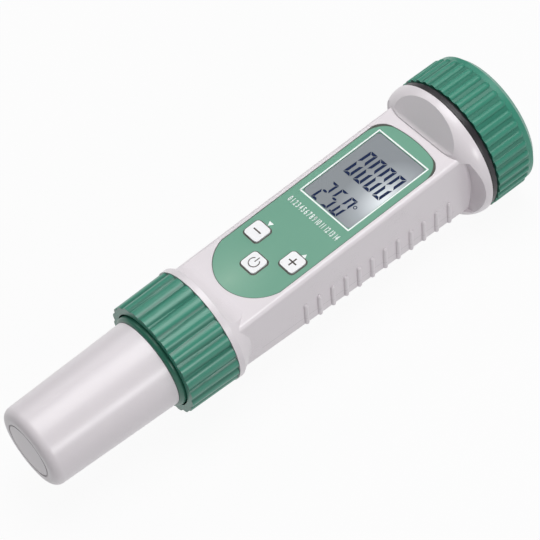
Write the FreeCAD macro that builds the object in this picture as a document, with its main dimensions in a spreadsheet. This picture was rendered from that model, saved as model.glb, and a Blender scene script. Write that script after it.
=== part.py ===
import FreeCAD, Part
import Sketcher
import math
import os

# Pen-type water quality tester, lying on its back.
# +X runs from the protective cap to the battery cap and +Z is up, out of the display.

SIZES = {
    # General clearances
    "fit_gap": 0.1,
    "running_gap": 0.08,
    # Protective cap over the probe
    "cap_length": 45.5,
    "cap_mouth_radius": 15.0,
    "cap_tip_radius": 13.9,
    "cap_wall": 1.8,
    "cap_floor": 2.2,
    "cap_edge_round": 3.0,
    "cap_ring_radius": 9.2,
    "cap_ring_width": 0.5,
    "cap_ring_depth": 0.25,
    "sponge_thickness": 4.2,
    # Probe module
    "spigot_radius": 13.1,
    "spigot_length": 7.6,
    "seat_ring_radius": 16.2,
    "seat_ring_width": 5.2,
    "seat_ring_round": 1.2,
    "clamp_flange_radius": 17.1,
    "clamp_flange_width": 2.2,
    "plug_radius": 13.9,
    "plug_length": 11.0,
    "probe_bore_radius": 7.5,
    "seal_groove_width": 1.7,
    "seal_groove_depth": 1.1,
    "seal_groove_setback": 3.4,
    "seal_thickness": 1.15,
    "guard_radius": 10.8,
    "guard_wall": 1.3,
    "guard_length": 28.2,
    "guard_slot_width": 6.5,
    "guard_slot_depth": 12.0,
    "guard_slot_round": 2.0,
    "core_length": 13.0,
    "electrode_hole_depth": 6.0,
    "bulb_radius": 3.7,
    "bulb_stem_radius": 3.2,
    "bulb_reach": 12.4,
    "bulb_offset": 4.0,
    "pin_radius": 0.9,
    "pin_reach": 8.0,
    "pin_offset_side": 4.4,
    "pin_offset_down": 2.6,
    "probe_tube_radius": 1.4,
    "probe_tube_reach": 9.0,
    "probe_tube_offset": 6.4,
    "junction_radius": 1.3,
    "junction_reach": 0.3,
    "contact_count": 5,
    "contact_circle": 3.4,
    "contact_radius": 0.5,
    "contact_reach": 4.5,
    "carrier_thickness": 3.0,
    "probe_board_width": 12.0,
    "probe_board_thickness": 1.0,
    "probe_board_length": 14.0,
    # Fluted collar that clamps the probe module
    "collar_setback": 1.8,
    "collar_length": 17.9,
    "collar_front_radius": 19.4,
    "collar_back_radius": 19.75,
    "collar_groove_radius": 18.75,
    "collar_flutes": 24,
    "collar_flute_round": 3.2,
    "collar_hole_radius": 16.7,
    # Front neck and socket
    "neck_radius": 17.1,
    "neck_bore_radius": 14.0,
    "bulkhead_thickness": 2.0,
    "bulkhead_setback": 1.1,
    "socket_flange_radius": 8.0,
    "socket_flange_width": 1.2,
    "socket_hub_radius": 5.9,
    "socket_hub_length": 4.0,
    # Housing
    "ring_width": 2.0,
    "ring_radius": 20.0,
    "shoulder_slope": 0.64,
    "shoulder_run": 8.6,
    "body_length": 98.1,
    "body_width": 32.7,
    "front_half": 9.35,
    "face_slope": 2.08,
    "corner_round": 1.3,
    "wall": 2.0,
    "front_scoop_foot": 7.6,
    "front_scoop_round": 8.0,
    "flange_radius": 23.8,
    "flange_round": 7.8,
    "back_scoop_foot": 9.8,
    "back_scoop_round": 3.4,
    "back_scoop_angle": 64.0,
    "side_scoop_reach": 2.5,
    "side_scoop_corner": 4.6,
    "side_scoop_half": 12.0,
    # Grip ribs on the two side faces
    "grip_count": 12,
    "grip_pitch": 5.35,
    "grip_start": 26.8,
    "grip_radius": 0.8,
    "grip_proud": 0.9,
    "grip_length": 9.2,
    "grip_middle": 5.3,
    "grip_lean": 4.0,
    # Rear cover, whose edge lies a parting height above the rear face
    "parting_height": 3.9,
    "cover_start": 9.0,
    "cover_end": 88.0,
    "tongue_height": 1.6,
    "tongue_thickness": 1.1,
    # Label, window and display, as depths below the front face
    "label_start": 9.1,
    "label_end": 87.8,
    "label_width": 28.4,
    "label_nose_radius": 14.6,
    "label_tail_radius": 44.0,
    "label_tail_corner": 6.0,
    "label_recess": 0.45,
    "label_thickness": 0.3,
    "window_start": 50.6,
    "window_length": 31.8,
    "window_width": 22.0,
    "window_thickness": 1.7,
    "glass_length": 34.0,
    "glass_width": 25.4,
    "glass_thickness": 2.2,
    "backlight_thickness": 1.6,
    "zebra_width": 2.2,
    "frame_wall": 0.9,
    "board_start": 14.0,
    "board_length": 70.4,
    "board_width": 27.4,
    "board_thickness": 1.2,
    # Keys and switches
    "key_size": 6.4,
    "key_corner": 1.2,
    "key_proud": 0.35,
    "key_flange_size": 8.2,
    "key_flange_thickness": 0.8,
    "key_travel": 0.5,
    "key_plunger_radius": 1.5,
    "power_key_place": 21.7,
    "pair_key_place": 30.1,
    "pair_key_offset": 8.55,
    "switch_size": 6.0,
    "switch_height": 0.9,
    "switch_stem": 0.25,
    # Board parts and screws
    "boss_radius": 2.0,
    "boss_front_place": 15.2,
    "boss_rear_place": 42.6,
    "boss_front_offset": 10.0,
    "boss_rear_offset": 11.2,
    "screw_radius": 0.9,
    "screw_head_radius": 1.75,
    "screw_head_height": 1.2,
    "screw_length": 3.0,
    "chip_size": 10.0,
    "chip_height": 1.4,
    "chip_place": 58.0,
    "capacitor_radius": 1.6,
    "capacitor_height": 3.2,
    "capacitor_pitch": 5.0,
    "capacitor_count": 3,
    "ribbon_width": 9.0,
    "ribbon_thickness": 0.3,
    # Battery compartment, inside the flange's radius
    "battery_neck_inset": 3.6,
    "battery_neck_length": 13.0,
    "battery_seat_wall": 2.4,
    "battery_seat_step": 1.3,
    "battery_seat_depth": 3.6,
    "rubber_ring_inset": 0.5,
    "rubber_ring_width": 2.9,
    "rubber_ring_round": 0.9,
    "cell_count": 4,
    "cell_radius": 5.8,
    "cell_height": 5.4,
    "cell_step": 0.3,
    "holder_wall": 1.0,
    "holder_flange_width": 2.5,
    "holder_floor": 1.0,
    "spring_gap": 2.6,
    "leaf_width": 4.0,
    "leaf_thickness": 0.3,
    "contact_leaf_length": 18.0,
    "battery_leaf_length": 9.6,
    "disc_radius": 12.0,
    "disc_thickness": 0.6,
    "disc_dimple_radius": 3.0,
    "strip_width": 3.0,
    "strip_thickness": 0.3,
    "strip_length": 25.0,
    # Battery cap
    "battery_cap_length": 16.5,
    "battery_cap_proud": 0.1,
    "battery_cap_ribs": 38,
    "battery_cap_rib_height": 0.65,
    "battery_cap_rib_round": 1.6,
    "battery_cap_rib_end": 2.9,
    "battery_cap_roof": 3.7,
    "battery_cap_edge": 1.7,
    "battery_cap_rim_drop": 1.9,
}

doc = FreeCAD.newDocument("water_quality_tester")
sheet = doc.addObject("Spreadsheet::Sheet", "Sizes")
for row, (alias, value) in enumerate(SIZES.items(), start=1):
    sheet.set(f"A{row}", alias)
    sheet.set(f"B{row}", str(value))
    sheet.setAlias(f"B{row}", alias)
doc.recompute()


# Expressions

def sized(text):
    """An expression in which each size's name points at its cell."""
    words = []
    word = ""
    for letter in text + " ":
        if letter.isalnum() or letter == "_":
            word += letter
            continue
        words.append(f"Sizes.{word}" if word in SIZES else word)
        words.append(letter)
        word = ""
    return "".join(words).strip()


def number(text):
    """The value of an expression on the sizes sheet."""
    value = sheet.evalExpression(sized(text))
    return float(getattr(value, "Value", value))


# Stations along the axis, counted from the tip of the protective cap
SEAT = "(cap_length + fit_gap)"
COLLAR = f"({SEAT} + collar_setback)"
CLAMP = f"({SEAT} + seat_ring_width)"
NECK = f"({CLAMP} + clamp_flange_width + fit_gap)"
RING = f"({COLLAR} + collar_length + fit_gap)"
BODY = f"({RING} + ring_width)"
BACK = f"({BODY} + body_length)"
BATTERY_CAP = f"({BACK} + rubber_ring_width + fit_gap)"
END = f"({BATTERY_CAP} + battery_cap_length)"

# Radii of the battery end, which follow the flange
CAP_RADIUS = "(flange_radius + battery_cap_proud)"
BATTERY_NECK = "(flange_radius - battery_neck_inset)"
BATTERY_SEAT = f"({BATTERY_NECK} - battery_seat_wall)"

# The tester rests on the two lowest ribs of the battery cap
RIB_CENTRE = f"({CAP_RADIUS} - battery_cap_rib_round)"
AXIS_HEIGHT = f"({RIB_CENTRE} * cos(180 / battery_cap_ribs) + battery_cap_rib_round)"


def place(item, along, side="0", up="0", turn=None):
    """Places an item by its distance from the cap's tip and from the axis."""
    spot = f"vector({along} - {END} / 2; {side}; {AXIS_HEIGHT} + {up})"
    spin = turn or "rotation(vector(0; 1; 0); 0)"
    item.setExpression("Placement", sized(f"placement({spot}; {spin})"))


def place_on_face(item, along="0", side="0", depth="0"):
    """Places an item in the frame of the sloped front face, depth below it."""
    across = f"{along} * cos(face_slope) + ({depth}) * sin(face_slope)"
    up = f"front_half + {along} * sin(face_slope) - ({depth}) * cos(face_slope)"
    place(item, f"{BODY} + {across}", side, up, "rotation(vector(0; 1; 0); -face_slope)")


def face_offset(depth="0"):
    """A sketch's offset to the sloped front face, in the housing's own frame."""
    spot = f"vector(({depth}) * sin(face_slope); 0; front_half - ({depth}) * cos(face_slope))"
    return f"placement({spot}; rotation(vector(0; 1; 0); -face_slope))"


# Sketches

def new_body(label):
    body = doc.addObject("PartDesign::Body", label)
    body.Label = label
    return body


def new_sketch(body, plane, name, offset=None):
    sketch = body.newObject("Sketcher::SketchObject", f"{body.Name}_{name}")
    origin = [item for item in body.Origin.OriginFeatures if item.Role == plane][0]
    sketch.AttachmentSupport = [(origin, "")]
    sketch.MapMode = "FlatFace"
    if offset:
        sketch.setExpression("AttachmentOffset", sized(offset))
    return sketch


def fix_point(sketch, edge, end, spot):
    """Binds an end of an edge, or a centre, to a pair of expressions."""
    for kind, text in zip(("DistanceX", "DistanceY"), spot):
        index = sketch.addConstraint(Sketcher.Constraint(kind, edge, end, number(text)))
        sketch.setExpression(f"Constraints[{index}]", sized(text))


def arc_between(start, finish, radius):
    """An arc that bends left of the way from start to finish, or right if negative."""
    middle = (start + finish) / 2
    way = finish - start
    left = FreeCAD.Vector(-way.y, way.x, 0).normalize()
    rise = math.sqrt(max(radius ** 2 - (way.Length / 2) ** 2, 0))
    centre = middle + left * math.copysign(rise, radius)
    first, last = (start, finish) if radius > 0 else (finish, start)
    angles = [math.atan2(spot.y - centre.y, spot.x - centre.x) for spot in (first, last)]
    circle = Part.Circle(centre, FreeCAD.Vector(0, 0, 1), abs(radius))
    return Part.ArcOfCircle(circle, angles[0], angles[1])


def outline(sketch, corners):
    """A closed outline. A third entry makes the side after that corner an arc."""
    spots = [FreeCAD.Vector(number(c[0]), number(c[1]), 0) for c in corners]
    sides = []
    for index, corner in enumerate(corners):
        start, finish = spots[index], spots[(index + 1) % len(spots)]
        if len(corner) == 2:
            edge = sketch.addGeometry(Part.LineSegment(start, finish), False)
            sides.append((edge, 1, 2))
            continue
        radius = number(corner[2])
        edge = sketch.addGeometry(arc_between(start, finish, radius), False)
        sides.append((edge, 1, 2) if radius > 0 else (edge, 2, 1))
    for index, (edge, _, finish) in enumerate(sides):
        after, start, _ = sides[(index + 1) % len(sides)]
        sketch.addConstraint(Sketcher.Constraint("Coincident", edge, finish, after, start))
    for (edge, start, _), corner in zip(sides, corners):
        fix_point(sketch, edge, start, corner[:2])
        if len(corner) == 3:
            radius = Sketcher.Constraint("Radius", edge, abs(number(corner[2])))
            index = sketch.addConstraint(radius)
            sketch.setExpression(f"Constraints[{index}]", sized(f"abs({corner[2]})"))


def disc(sketch, x, y, radius):
    """A circle whose centre and radius are expressions."""
    centre = FreeCAD.Vector(number(x), number(y), 0)
    circle = Part.Circle(centre, FreeCAD.Vector(0, 0, 1), number(radius))
    edge = sketch.addGeometry(circle, False)
    fix_point(sketch, edge, 3, (x, y))
    index = sketch.addConstraint(Sketcher.Constraint("Radius", edge, number(radius)))
    sketch.setExpression(f"Constraints[{index}]", sized(radius))


def rounded_box(x0, x1, y0, y1, corner):
    """Corners of an upright rectangle with round corners, counterclockwise."""
    return [
        (f"{x0} + {corner}", y0), (f"{x1} - {corner}", y0, corner),
        (x1, f"{y0} + {corner}"), (x1, f"{y1} - {corner}", corner),
        (f"{x1} - {corner}", y1), (f"{x0} + {corner}", y1, corner),
        (x0, f"{y1} - {corner}"), (x0, f"{y0} + {corner}", corner),
    ]


# Features

def revolve(body, sketch, name="turned", cut=False, axis="H_Axis"):
    kind = "PartDesign::Groove" if cut else "PartDesign::Revolution"
    feature = body.newObject(kind, f"{body.Name}_{name}")
    feature.Profile = sketch
    feature.ReferenceAxis = (sketch, [axis])
    feature.Angle = 360
    return feature


def extrude(body, sketch, length, name="pad", cut=False, way=1, symmetric=False):
    """A pad or pocket along the sketch's normal, or against it if way is -1."""
    kind = "PartDesign::Pocket" if cut else "PartDesign::Pad"
    feature = body.newObject(kind, f"{body.Name}_{name}")
    feature.Profile = sketch
    feature.setExpression("Length", sized(length))
    feature.Reversed = (way < 0) != cut
    if symmetric:
        feature.SideType = "Symmetric"
    return feature


def pattern_round(body, feature, count, axis_role="X_Axis"):
    """Copies of a feature at equal angles about an axis of the body."""
    pattern = body.newObject("PartDesign::PolarPattern", f"{feature.Name}_ring")
    pattern.Originals = [feature]
    axis = [item for item in body.Origin.OriginFeatures if item.Role == axis_role][0]
    pattern.Axis = (axis, [""])
    pattern.Angle = 360
    pattern.setExpression("Occurrences", sized(count))
    body.Tip = pattern
    return pattern


def turned(label, along, corners, side="0", up="0"):
    """A piece turned about its own axis, which runs along X."""
    body = new_body(label)
    outline_sketch = new_sketch(body, "XZ_Plane", "section")
    outline(outline_sketch, corners)
    revolve(body, outline_sketch)
    place(body, along, side, up)
    return body


def seal(label, along, middle, inner_radius):
    """A rubber ring of round section."""
    body = new_body(label)
    section = new_sketch(body, "XZ_Plane", "section")
    disc(section, middle, f"{inner_radius} + seal_thickness / 2", "seal_thickness / 2")
    revolve(body, section)
    place(body, along)
    return body


def slab(label, x0, x1, width, thickness, depth, corner=None):
    """A flat piece parallel to the front face, with its upper side at a depth."""
    body = new_body(label)
    plan = new_sketch(body, "XY_Plane", "plan")
    half = f"({width}) / 2"
    if corner:
        outline(plan, rounded_box(x0, x1, f"-{half}", half, corner))
    else:
        outline(plan, [(x0, f"-{half}"), (x1, f"-{half}"), (x1, half), (x0, half)])
    extrude(body, plan, thickness, way=-1)
    place_on_face(body, depth=depth)
    return body


# Protective cap and its sponge

CAP_BORE = "(spigot_radius + fit_gap)"
turned("protective_cap", "0", [
    ("0", "0"),
    ("0", "cap_ring_radius - cap_ring_width / 2"),
    ("cap_ring_depth", "cap_ring_radius - cap_ring_width / 2"),
    ("cap_ring_depth", "cap_ring_radius + cap_ring_width / 2"),
    ("0", "cap_ring_radius + cap_ring_width / 2"),
    ("0", "cap_tip_radius - cap_edge_round", "-cap_edge_round"),
    ("cap_edge_round", "cap_tip_radius"),
    ("cap_length", "cap_mouth_radius"),
    ("cap_length", CAP_BORE),
    ("cap_length - spigot_length - cap_wall", CAP_BORE),
    ("cap_floor", "cap_tip_radius - cap_wall"),
    ("cap_floor", "0"),
])
turned("cap_sponge", "cap_floor", [
    ("0", "0"),
    ("0", "cap_tip_radius - cap_wall - fit_gap * 2"),
    ("sponge_thickness", "cap_tip_radius - cap_wall - fit_gap * 2"),
    ("sponge_thickness", "0"),
])


# Probe module

PLUG_FRONT = "(seat_ring_width + clamp_flange_width)"
PLUG_END = f"({PLUG_FRONT} + plug_length)"
CAP_SEAL = "(-seal_groove_setback)"
PLUG_SEAL = f"({PLUG_END} - seal_groove_setback)"


def groove_corners(middle, radius):
    """The corners of a seal's groove in a cylinder, in order along X."""
    return [
        (f"{middle} - seal_groove_width / 2", radius),
        (f"{middle} - seal_groove_width / 2", f"{radius} - seal_groove_depth"),
        (f"{middle} + seal_groove_width / 2", f"{radius} - seal_groove_depth"),
        (f"{middle} + seal_groove_width / 2", radius),
    ]


turned("probe_base", SEAT, [
    ("-spigot_length", "probe_bore_radius"),
    ("-spigot_length", "spigot_radius"),
    *groove_corners(CAP_SEAL, "spigot_radius"),
    ("0", "spigot_radius"),
    ("0", "seat_ring_radius - seat_ring_round", "-seat_ring_round"),
    ("seat_ring_round", "seat_ring_radius"),
    ("seat_ring_width", "seat_ring_radius"),
    ("seat_ring_width", "clamp_flange_radius"),
    (PLUG_FRONT, "clamp_flange_radius"),
    (PLUG_FRONT, "plug_radius"),
    *groove_corners(PLUG_SEAL, "plug_radius"),
    (PLUG_END, "plug_radius"),
    (PLUG_END, "probe_bore_radius"),
])
seal("cap_seal", SEAT, CAP_SEAL, "spigot_radius - seal_groove_depth")
seal("plug_seal", SEAT, PLUG_SEAL, "plug_radius - seal_groove_depth")

GUARD_TIP = f"({SEAT} - spigot_length - guard_length)"
guard = turned("probe_guard", GUARD_TIP, [
    ("0", "guard_radius - guard_wall"),
    ("0", "guard_radius - guard_wall / 2"),
    ("guard_wall / 2", "guard_radius"),
    ("guard_length", "guard_radius"),
    ("guard_length", "guard_radius - guard_wall"),
])
guard_plans = (("XZ_Plane", "side_slot"), ("XY_Plane", "front_slot"))
for plane, name in guard_plans:
    slot = new_sketch(guard, plane, name)
    outline(slot, rounded_box("-guard_slot_depth", "guard_slot_depth", "-guard_slot_width / 2",
                              "guard_slot_width / 2", "guard_slot_round"))
    extrude(guard, slot, "guard_radius * 4", name, cut=True, symmetric=True)

CORE_FACE = f"({SEAT} - spigot_length - core_length)"
ELECTRODES = {
    "ph_bulb": ("0", "bulb_offset", "bulb_stem_radius"),
    "conductivity_pins": ("pin_offset_side", "-pin_offset_down", "pin_radius"),
    "second_pin": ("-pin_offset_side", "-pin_offset_down", "pin_radius"),
    "temperature_tube": ("0", "-probe_tube_offset", "probe_tube_radius"),
    "reference_junction": ("0", "-pin_offset_down", "junction_radius"),
}
core = turned("probe_core", CORE_FACE, [
    ("0", "0"),
    ("0", "guard_radius - guard_wall - fit_gap"),
    ("core_length", "guard_radius - guard_wall - fit_gap"),
    ("core_length", "0"),
])
holes = new_sketch(core, "YZ_Plane", "holes")
for side, up, radius in ELECTRODES.values():
    disc(holes, side, up, f"{radius} + running_gap")
extrude(core, holes, "electrode_hole_depth", "pockets", cut=True)


def electrode(label, reach, sides=None):
    """A rod with a round tip that stands in its hole in the core, one or a pair."""
    side, up, radius = ELECTRODES[label]
    body = new_body(label)
    for name, sign in sides or (("rod", "1"),):
        offset = f"placement(vector(0; {up}; -({side}) * {sign}); rotation(vector(0; 0; 1); 0))"
        section = new_sketch(body, "XZ_Plane", name, offset)
        outline(section, [
            (f"-{reach}", "0", f"-{radius}"),
            (f"-{reach} + {radius}", radius),
            ("electrode_hole_depth", radius),
            ("electrode_hole_depth", "0"),
        ])
        revolve(body, section, f"{name}_turned")
    place(body, CORE_FACE)
    return body


turned("ph_bulb", CORE_FACE, [
    ("-bulb_reach", "0", "-bulb_radius"),
    ("-bulb_reach + bulb_radius + sqrt(bulb_radius ^ 2 - bulb_stem_radius ^ 2)", "bulb_stem_radius"),
    ("electrode_hole_depth", "bulb_stem_radius"),
    ("electrode_hole_depth", "0"),
], up="bulb_offset")
electrode("conductivity_pins", "pin_reach", (("left", "1"), ("right", "-1")))
electrode("temperature_tube", "probe_tube_reach")
turned("reference_junction", CORE_FACE, [
    ("-junction_reach", "0"),
    ("-junction_reach", "junction_radius"),
    ("electrode_hole_depth", "junction_radius"),
    ("electrode_hole_depth", "0"),
], up="-pin_offset_down")

CARRIER = f"({SEAT} + {PLUG_END} - carrier_thickness)"


def contact_ring(body, radius, name):
    """Circles on the circle of contacts, in a cross-section sketch."""
    ring = new_sketch(body, "YZ_Plane", name)
    for index in range(SIZES["contact_count"]):
        angle = f"(360 * {index} / contact_count)"
        disc(ring, f"contact_circle * sin({angle})", f"contact_circle * cos({angle})", radius)
    return ring


carrier = turned("contact_carrier", CARRIER, [
    ("0", "0"),
    ("0", "probe_bore_radius - fit_gap"),
    ("carrier_thickness", "probe_bore_radius - fit_gap"),
    ("carrier_thickness", "0"),
])
carrier_holes = contact_ring(carrier, "contact_radius + running_gap", "holes")
extrude(carrier, carrier_holes, "carrier_thickness * 3", "drilled", cut=True, symmetric=True)

pins = new_body("contact_pins")
extrude(pins, contact_ring(pins, "contact_radius", "pins"), "carrier_thickness + contact_reach")
place(pins, CARRIER)

probe_board = new_body("probe_board")
plan = new_sketch(probe_board, "XY_Plane", "plan")
half_board = "probe_board_width / 2"
outline(plan, [
    ("-probe_board_length", f"-{half_board}"), ("0", f"-{half_board}"),
    ("0", half_board), ("-probe_board_length", half_board),
])
extrude(probe_board, plan, "probe_board_thickness", symmetric=True)
place(probe_board, CARRIER)


# Fluted collar

collar = turned("collar", COLLAR, [
    ("0", "0"),
    ("0", "collar_groove_radius"),
    ("collar_length", "collar_groove_radius"),
    ("collar_length", "0"),
])
flute = new_sketch(collar, "XZ_Plane", "flute", (
    "placement(vector(0; collar_front_radius - collar_flute_round; 0);"
    " rotation(vector(0; 0; 1); 0))"))
outline(flute, [
    ("0", "0"),
    ("0", "collar_flute_round"),
    ("collar_length", "collar_flute_round + collar_back_radius - collar_front_radius"),
    ("collar_length", "0"),
])
pattern_round(collar, revolve(collar, flute, "flute_turned"), "collar_flutes")
COLLAR_SHOULDER = "(seat_ring_width - collar_setback - fit_gap)"
collar_bore = new_sketch(collar, "XZ_Plane", "bore")
outline(collar_bore, [
    ("-1", "0"),
    ("-1", "collar_hole_radius"),
    (COLLAR_SHOULDER, "collar_hole_radius"),
    (COLLAR_SHOULDER, "neck_radius + running_gap"),
    ("collar_length + 1", "neck_radius + running_gap"),
    ("collar_length + 1", "0"),
])
revolve(collar, collar_bore, "bored", cut=True)


# Housing moulding, in a frame whose X starts behind the white ring

FACE_RISE = "tan(face_slope)"
BATTERY_END = "(body_length + battery_neck_length)"
HOLDER_SEAT = f"({BATTERY_END} - battery_seat_depth)"
NECK_START = f"({NECK} - {BODY})"
BULKHEAD = "(-bulkhead_setback)"
BULKHEAD_BACK = f"({BULKHEAD} + bulkhead_thickness)"
INNER_CORNER = "0.6"


def half_at(x):
    """Half of the housing's thickness at a distance behind the ring."""
    return f"(front_half + ({x}) * {FACE_RISE})"


housing = new_body("housing")
rings = new_sketch(housing, "XZ_Plane", "rings")
CORE_BAR = "front_half / 2"
outline(rings, [
    (NECK_START, "0"),
    (NECK_START, "neck_radius"),
    ("-ring_width", "neck_radius"),
    ("-ring_width", "ring_radius"),
    ("0", "ring_radius"),
    ("shoulder_run", "ring_radius - shoulder_run * shoulder_slope"),
    ("shoulder_run", CORE_BAR),
    ("body_length - flange_round", CORE_BAR),
    ("body_length - flange_round", "flange_radius - flange_round", "-flange_round"),
    ("body_length", "flange_radius"),
    ("body_length", BATTERY_NECK),
    (BATTERY_END, BATTERY_NECK),
    (BATTERY_END, "0"),
])
revolve(housing, rings)

# Concave scoops run from the flat faces up to the ring and the flange
BACK_FOOT = "(body_length - back_scoop_foot)"
BACK_RISE = "(back_scoop_round * (1 - cos(back_scoop_angle)))"
BACK_RUN = "(back_scoop_round * sin(back_scoop_angle))"
CLEAR = "(flange_radius + wall)"


def scoop_corners(sign):
    """The outline cut away above the front face, or below the rear face if sign is -1."""
    front_rise = "(front_scoop_round - sqrt(front_scoop_round ^ 2 - front_scoop_foot ^ 2))"
    wall_top = f"({half_at(BACK_FOOT)} + {BACK_RISE})"
    wall_run = f"(({CLEAR} - {wall_top}) / tan(back_scoop_angle))"
    turn = "" if sign > 0 else "-"
    corners = [
        ("0", f"{half_at('front_scoop_foot')} + {front_rise}", f"{turn}front_scoop_round"),
        ("front_scoop_foot", half_at("front_scoop_foot")),
        ("front_scoop_foot", f"{half_at('front_scoop_foot')} - wall / 2"),
        (BACK_FOOT, f"{half_at(BACK_FOOT)} - wall / 2"),
        (BACK_FOOT, half_at(BACK_FOOT), f"{turn}back_scoop_round"),
        (f"{BACK_FOOT} + {BACK_RUN}", wall_top),
        (f"{BACK_FOOT} + {BACK_RUN} + {wall_run}", CLEAR),
        ("0", CLEAR),
    ]
    if sign > 0:
        return corners
    return [(corner[0], f"-({corner[1]})") + corner[2:] for corner in corners]


scoops = new_sketch(housing, "XZ_Plane", "scoops")
outline(scoops, scoop_corners(1))
outline(scoops, scoop_corners(-1))
extrude(housing, scoops, "flange_radius * 3", "scooped", cut=True, symmetric=True)

SIDE_START = "(body_length - flange_round - 1)"
SIDE_BULGE = "(side_scoop_corner - side_scoop_reach)"
SIDE_ROUND = f"((side_scoop_half ^ 2 + {SIDE_BULGE} ^ 2) / (2 * {SIDE_BULGE}))"
for name, sign, way in (("near_scoop", "1", 1), ("far_scoop", "-1", -1)):
    offset = (f"placement(vector(0; 0; {sign} * (body_width / 2 - wall / 4));"
              " rotation(vector(0; 0; 1); 0))")
    side_scoop = new_sketch(housing, "XZ_Plane", name, offset)
    outline(side_scoop, [
        (SIDE_START, "-side_scoop_half"),
        ("body_length - side_scoop_corner", "-side_scoop_half", SIDE_ROUND),
        ("body_length - side_scoop_corner", "side_scoop_half"),
        (SIDE_START, "side_scoop_half"),
    ])
    extrude(housing, side_scoop, "flange_radius", f"{name}_cut", cut=True, way=way)


def section_at(name, x, half_width, shrink, corner):
    """A rounded rectangle across the housing at a distance behind the ring."""
    offset = f"placement(vector(0; 0; {x}); rotation(vector(0; 0; 1); 0))"
    section = new_sketch(housing, "YZ_Plane", name, offset)
    half_height = f"({half_at(x)} - {shrink})"
    outline(section, rounded_box(
        f"-{half_width}", half_width, f"-{half_height}", half_height, corner))
    return section


def loft(name, kind, sections):
    feature = housing.newObject(kind, f"housing_{name}")
    feature.Profile = sections[0]
    feature.Sections = [sections[1]]
    feature.Ruled = True
    return feature


loft("block", "PartDesign::AdditiveLoft", [
    section_at("block_front", "0", "(body_width / 2)", "0", "corner_round"),
    section_at("block_back", "(body_length - wall / 2)", "(body_width / 2)", "0", "corner_round"),
])
loft("cavity", "PartDesign::SubtractiveLoft", [
    section_at("cavity_front", BULKHEAD_BACK, "(body_width / 2 - wall)", "wall", INNER_CORNER),
    section_at("cavity_back", "(body_length - wall * 0.95)", "(body_width / 2 - wall)", "wall",
               INNER_CORNER),
])

bores = new_sketch(housing, "XZ_Plane", "bores")
outline(bores, [
    (f"{NECK_START} - 1", "0"),
    (f"{NECK_START} - 1", "neck_bore_radius"),
    (BULKHEAD, "neck_bore_radius"),
    (BULKHEAD, "socket_hub_radius + running_gap"),
    (f"{BULKHEAD_BACK} + 1", "socket_hub_radius + running_gap"),
    (f"{BULKHEAD_BACK} + 1", "0"),
])
revolve(housing, bores, "neck_bored", cut=True)
battery_bore = new_sketch(housing, "XZ_Plane", "battery_bore")
outline(battery_bore, [
    ("body_length - wall", "0"),
    ("body_length - wall", f"{BATTERY_SEAT} - battery_seat_step"),
    (HOLDER_SEAT, f"{BATTERY_SEAT} - battery_seat_step"),
    (HOLDER_SEAT, BATTERY_SEAT),
    (f"{BATTERY_END} + 1", BATTERY_SEAT),
    (f"{BATTERY_END} + 1", "0"),
])
revolve(housing, battery_bore, "battery_bored", cut=True)

# Grip ribs: a round bar half sunk in each side face, repeated along X
GRIP_HALF = "(grip_length / 2)"
grip_ribs = []
for name, sign in (("near_rib", "1"), ("far_rib", "-1")):
    offset = (f"placement(vector(grip_start; grip_middle - {half_at('grip_start')};"
              f" {sign} * (body_width / 2 + grip_proud - grip_radius));"
              " rotation(vector(0; 0; 1); -grip_lean))")
    rib = new_sketch(housing, "XZ_Plane", name, offset)
    outline(rib, [
        ("0", f"-{GRIP_HALF}", "grip_radius"),
        ("grip_radius", f"-{GRIP_HALF} + grip_radius"),
        ("grip_radius", f"{GRIP_HALF} - grip_radius", "grip_radius"),
        ("0", GRIP_HALF),
    ])
    grip_ribs.append(revolve(housing, rib, f"{name}_turned", axis="V_Axis"))
rear_line = new_sketch(housing, "XZ_Plane", "rear_line", (
    "placement(vector(0; -front_half; 0); rotation(vector(0; 0; 1); -face_slope))"))
outline(rear_line, [("0", "0"), ("grip_start", "0"), ("grip_start", "wall")])
rib_row = housing.newObject("PartDesign::LinearPattern", "housing_rib_row")
rib_row.Originals = grip_ribs
rib_row.Direction = (rear_line, ["H_Axis"])
rib_row.setExpression("Length", sized("grip_pitch * (grip_count - 1)"))
rib_row.setExpression("Occurrences", sized("grip_count"))
housing.Tip = rib_row

# Label recess, display opening and key holes, cut square to the sloped front face
KEY_PLACES = {
    "key_power": ("power_key_place", "0"),
    "key_left": ("pair_key_place", "pair_key_offset"),
    "key_right": ("pair_key_place", "-pair_key_offset"),
}


def label_corners(gap="0"):
    """The label's outline: a round nose towards the probe and a gently curved tail."""
    half = f"(label_width / 2 + {gap})"
    nose = f"(label_nose_radius + {gap})"
    nose_run = f"({nose} - sqrt({nose} ^ 2 - {half} ^ 2))"
    tail_run = (f"(label_tail_radius - sqrt(label_tail_radius ^ 2"
                f" - ({half} - label_tail_corner * 0.7) ^ 2))")
    tail_end = f"(label_end + {gap})"
    return [
        (f"label_start - {gap} + {nose_run}", half, nose),
        (f"label_start - {gap} + {nose_run}", f"-{half}"),
        (f"{tail_end} - {tail_run} - label_tail_corner * 0.75", f"-{half}", "label_tail_corner"),
        (f"{tail_end} - {tail_run}", f"-{half} + label_tail_corner * 0.7", "label_tail_radius"),
        (f"{tail_end} - {tail_run}", f"{half} - label_tail_corner * 0.7", "label_tail_corner"),
        (f"{tail_end} - {tail_run} - label_tail_corner * 0.75", half),
    ]


def square_hole(sketch, places, size, corner):
    for x, y in places:
        outline(sketch, rounded_box(
            f"({x} - ({size}) / 2)", f"({x} + ({size}) / 2)",
            f"({y} - ({size}) / 2)", f"({y} + ({size}) / 2)", corner))


def window_corners(gap):
    return rounded_box(
        f"(window_start - {gap})", f"(window_start + window_length + {gap})",
        f"(-window_width / 2 - {gap})", f"(window_width / 2 + {gap})", "key_corner")


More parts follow.
